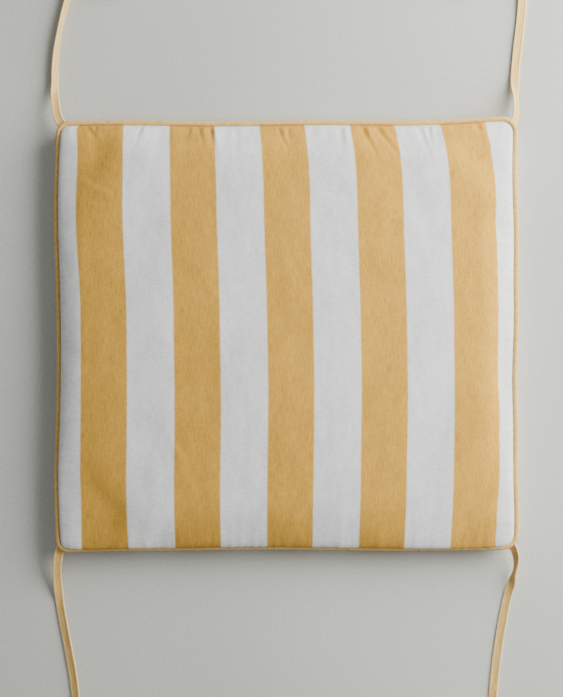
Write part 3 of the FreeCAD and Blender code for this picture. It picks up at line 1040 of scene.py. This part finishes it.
# Sewing: the edge seam, the zip's two rows and a bar tack under each tie
sewing = {
    "pitch": 0.0030, "length": 0.0022, "radius": 0.00018, "seamInset": 0.0013,
    "zipRows": (0.0066, 0.0170), "tackStitches": 9, "tackWidth": 0.0032, "tackLength": 0.0060,
    "tackAt": (0.1932, 0.1792, 0.0143), "tackRadius": 0.0003, "tackArch": 0.9,
}


def stitchLine(points, faces, line, normal, sides=5):
    for start, end in zip(line, line[1:]):
        share = sewing["length"] / sewing["pitch"]
        addStitch(points, faces, start, start.lerp(end, share), sewing["radius"], normal, sides)


def makeSewing():
    points, faces = [], []
    for height, normal in ((padShape["topSeam"], 1), (padShape["baseSeam"], -1)):
        loop = outlineLoop(-sewing["seamInset"], height + normal * 0.0002, sewing["pitch"])
        stitchLine(points, faces, loop + loop[:1], Vector((0, 0, normal)), 4)
    seam = makePiece("seamStitches", points, faces)
    finishPiece(seam, "pad", "thread", [sewingThread], "seam_thread")

    points, faces = [], []
    count = round(2 * zipMouth["half"] / sewing["pitch"])
    for height in sewing["zipRows"]:
        line = [Vector((-zipMouth["half"] + index * sewing["pitch"], padShape["halfY"] + 0.0001, height))
                for index in range(count + 1)]
        stitchLine(points, faces, line, Vector((0, 1, 0)))
    rows = makePiece("zipStitches", points, faces)
    finishPiece(rows, "pad", "thread", [sewingThread])

    points, faces = [], []
    for signX in (-1, 1):
        for signY in (-1, 1):
            outward = Vector((signX, signY, 0)).normalized()
            along = Vector((-outward.y, outward.x, 0))
            corner = Vector(sewing["tackAt"]) * Vector((signX, signY, 1))
            for index in range(sewing["tackStitches"]):
                share = index / (sewing["tackStitches"] - 1) - 0.5
                middle = corner + along * (share * sewing["tackLength"])
                reach = outward * (sewing["tackWidth"] / 2)
                addStitch(points, faces, middle - reach, middle + reach, sewing["tackRadius"],
                          Vector((0, 0, 1)), arch=sewing["tackArch"])
    tacks = makePiece("tieTacks", points, faces)
    finishPiece(tacks, "pad", "thread", [sewingThread], "tie_tacks")


makeSewing()
print("sewing made")

# Zip: woven tapes, coiled teeth, stops, slider and pull
zipFacts = {
    "column": 0.0020, "ribPitch": 0.0011, "ribHeight": 0.00008, "toothPitch": 0.0013,
    "strand": 0.00030, "perTurn": 12, "sides": 6, "reach": 0.00024, "tapeRows": 24, "square": 0.6,
}
labelShape = {"columns": 24, "rows": 14, "gap": 0.0002, "curl": 0.0009, "wave": 0.0002, "waveStep": 0.45}
# how the CAD's own forms are cleaned and where their edges are rounded
copying = {"merge": 0.000002, "flat": 0.02, "sharp": 35, "segments": 3}


def makeZipTape(side):
    node = "zip_" + side + "_tape"
    low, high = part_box(node)
    columns = round((high[0] - low[0]) / zipFacts["column"])
    rows = zipFacts["tapeRows"]
    points, weave = [], []
    for column in range(columns + 1):
        x = low[0] + (high[0] - low[0]) * column / columns
        for face in (1, -1):
            for row in range(rows + 1):
                share = row / rows if face > 0 else 1 - row / rows
                z = low[2] + (high[2] - low[2]) * share
                phase = 2 * math.pi * (z - low[2]) / zipFacts["ribPitch"]
                rib = zipFacts["ribHeight"] * (math.cos(phase) - 1)
                y = (high[1] if face > 0 else low[1]) + face * rib
                points.append(Vector((x, y, z)))
                weave.append((x, z, 0))
    faces = barFaces(columns, 2 * (rows + 1))
    tape = makePiece("zipTape" + side.capitalize(), points, faces, weave)
    finishPiece(tape, "pad", "zip_tape", [zipFabric], node)


def makeZipTeeth(side):
    node = "zip_" + side + "_teeth"
    low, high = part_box(node)
    slit = zipFacts["reach"]
    inner = low[2] - slit if side == "upper" else low[2]
    outer = high[2] if side == "upper" else high[2] + slit
    strand = zipFacts["strand"]
    middleZ, halfZ = (inner + outer) / 2, (outer - inner) / 2 - strand
    middleY, halfY = (low[1] + high[1]) / 2, (high[1] - low[1]) / 2 - strand
    turns = int((high[0] - low[0] - 2 * strand) / zipFacts["toothPitch"])
    line = []
    for index in range(turns * zipFacts["perTurn"] + 1):
        angle = 2 * math.pi * index / zipFacts["perTurn"]
        turned = (math.cos(angle), math.sin(angle))
        squareZ, squareY = [math.copysign(abs(value) ** zipFacts["square"], value) for value in turned]
        x = low[0] + strand + zipFacts["toothPitch"] * index / zipFacts["perTurn"]
        line.append(Vector((x, middleY + halfY * squareY, middleZ + halfZ * squareZ)))
    points = []
    sides = zipFacts["sides"]
    for index, centre in enumerate(line):
        heading = (line[min(index + 1, len(line) - 1)] - line[max(index - 1, 0)]).normalized()
        side1 = heading.cross(Vector((1, 0, 0))).normalized()
        side2 = heading.cross(side1)
        for corner in range(sides):
            angle = 2 * math.pi * corner / sides
            points.append(centre + (side1 * math.cos(angle) + side2 * math.sin(angle)) * strand)
    teeth = makePiece("zipTeeth" + side.capitalize(), points, barFaces(len(line) - 1, sides))
    finishPiece(teeth, "pad", "zip_teeth", [nylon], node)


def softenedCopy(name, node, bevel, body, slot, material):
    # the node's own form with its edges rounded
    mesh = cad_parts[node].data.copy()
    mesh.name = name
    mesh.materials.clear()
    form = bmesh.new()
    form.from_mesh(mesh)
    bmesh.ops.remove_doubles(form, verts=form.verts, dist=copying["merge"])
    bmesh.ops.dissolve_limit(form, angle_limit=copying["flat"], verts=form.verts, edges=form.edges)
    form.to_mesh(mesh)
    form.free()
    piece = linkPiece(name, mesh)
    modifier = piece.modifiers.new("Edges", "BEVEL")
    modifier.width = bevel
    modifier.segments = copying["segments"]
    modifier.limit_method = "ANGLE"
    modifier.angle_limit = math.radians(copying["sharp"])
    finishModifiers(piece)
    piece.data.shade_smooth()
    finishPiece(piece, body, slot, [material], node)


def makeLabel():
    low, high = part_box("care_label")
    columns, rows = labelShape["columns"], labelShape["rows"]
    points, weave = [], []
    for face in (0, 1):
        for column in range(columns + 1):
            for row in range(rows + 1):
                x = low[0] + (high[0] - low[0]) * column / columns
                z = low[2] + (high[2] - low[2]) * row / rows
                curl = labelShape["curl"] * (1 - row / rows) ** 2
                curl += labelShape["wave"] * math.sin(column * labelShape["waveStep"])
                y = low[1] + labelShape["gap"] + curl + (high[1] - low[1]) * (1 - face)
                points.append(Vector((x, y, z)))
                weave.append((x, z, 0))
    faces = closedGrid(columns + 1, rows + 1)
    flats = 2 * columns * rows
    # the two flat sides face outwards, and the hair-thin edge between them faces in
    faces = [face[::-1] for face in faces[:flats]] + faces[flats:]
    label = makePiece("careLabel", points, faces, weave)
    finishPiece(label, "pad", "label", [labelSatin], "care_label")


def makeTapeMaterial(name, light, dark, pitch, roughness, sheen):
    material, tree, shader = startMaterial(name, {"roughness": roughness, "specular": 0.3, "sheen": sheen})
    place = clothPlace(tree)
    weave = threads(tree, place, pitch)
    flecks = grain(tree, place, (900.0, 900.0, 1.0), 2.0)
    colour = blendColours(tree, spread(tree, calc(tree, "ADD", weave, flecks), 0.5, 1.5), dark, light)
    shine = spread(tree, flecks, 0.3, 0.7, roughness + 0.05, roughness - 0.08)
    finishMaterial(tree, shader, colour, shine, weave, 0.4, 0.00012)
    return material


zipFabric = makeTapeMaterial("zipFabric", (0.84, 0.76, 0.58, 1), (0.72, 0.63, 0.45, 1), 0.0007, 0.8, 0.1)
labelSatin = makeTapeMaterial("labelSatin", (0.90, 0.90, 0.88, 1), (0.80, 0.80, 0.78, 1), 0.0004, 0.5, 0.3)
nylon = makeGrainMaterial("nylonTeeth", (0.86, 0.78, 0.60), (0.78, 0.69, 0.50), nylonLook)
enamel = makeGrainMaterial("enamelledZinc", (0.85, 0.77, 0.60), (0.77, 0.69, 0.52), enamelLook)
for tapeSide in ("upper", "lower"):
    makeZipTape(tapeSide)
    makeZipTeeth(tapeSide)
softenedCopy("zipStops", "zip_end_stops", 0.0003, "pad", "zip_teeth", nylon)
softenedCopy("zipSlider", "zip_slider", 0.00014, "zip_slider", "zip_slider", enamel)
softenedCopy("zipPull", "zip_pull", 0.00022, "zip_pull", "zip_slider", enamel)
makeLabel()
print("zip and label made")

# Floor and light
floorLook = {"size": 30.0, "light": (0.640, 0.655, 0.600, 1), "dark": (0.500, 0.513, 0.462, 1)}
lighting = {
    "keyAt": (0.83, 0.40, 0.53), "keySize": 1.05, "keyPower": 37.5, "keyColour": (1.0, 0.985, 0.97),
    "fill": (0.97, 0.985, 1.0, 1), "fillStrength": 0.32,
}


def makeFloor():
    half = floorLook["size"] / 2
    floor = makePiece("floor", [(-half, -half, 0), (half, -half, 0), (half, half, 0), (-half, half, 0)],
                      [(0, 1, 2, 3)])
    material, tree, shader = startMaterial("paleFloor", {"roughness": 0.85, "specular": 0.2})
    place = objectPlace(tree)
    mottle = grain(tree, place, (420.0, 420.0, 420.0), 4.0)
    cloud = grain(tree, place, (2.0, 2.0, 2.0), 2.0)
    share = spread(tree, calc(tree, "ADD", mottle, cloud), 0.7, 1.3)
    colour = blendColours(tree, share, floorLook["dark"], floorLook["light"])
    finishMaterial(tree, shader, colour, None, mottle, 0.15, 0.0003)
    floor.data.materials.append(material)


def makeLights():
    data = bpy.data.lights.new("windowLight", "AREA")
    data.shape = "SQUARE"
    data.size = lighting["keySize"]
    data.energy = lighting["keyPower"]
    data.color = lighting["keyColour"]
    key = linkPiece("windowLight", data)
    key.location = lighting["keyAt"]
    key.rotation_euler = (-Vector(lighting["keyAt"])).to_track_quat("-Z", "Y").to_euler()
    world = bpy.data.worlds.new("room")
    world.use_nodes = True
    background = world.node_tree.nodes["Background"]
    background.inputs["Color"].default_value = lighting["fill"]
    background.inputs["Strength"].default_value = lighting["fillStrength"]
    scene.world = world


makeFloor()
makeLights()
print("floor and light made")
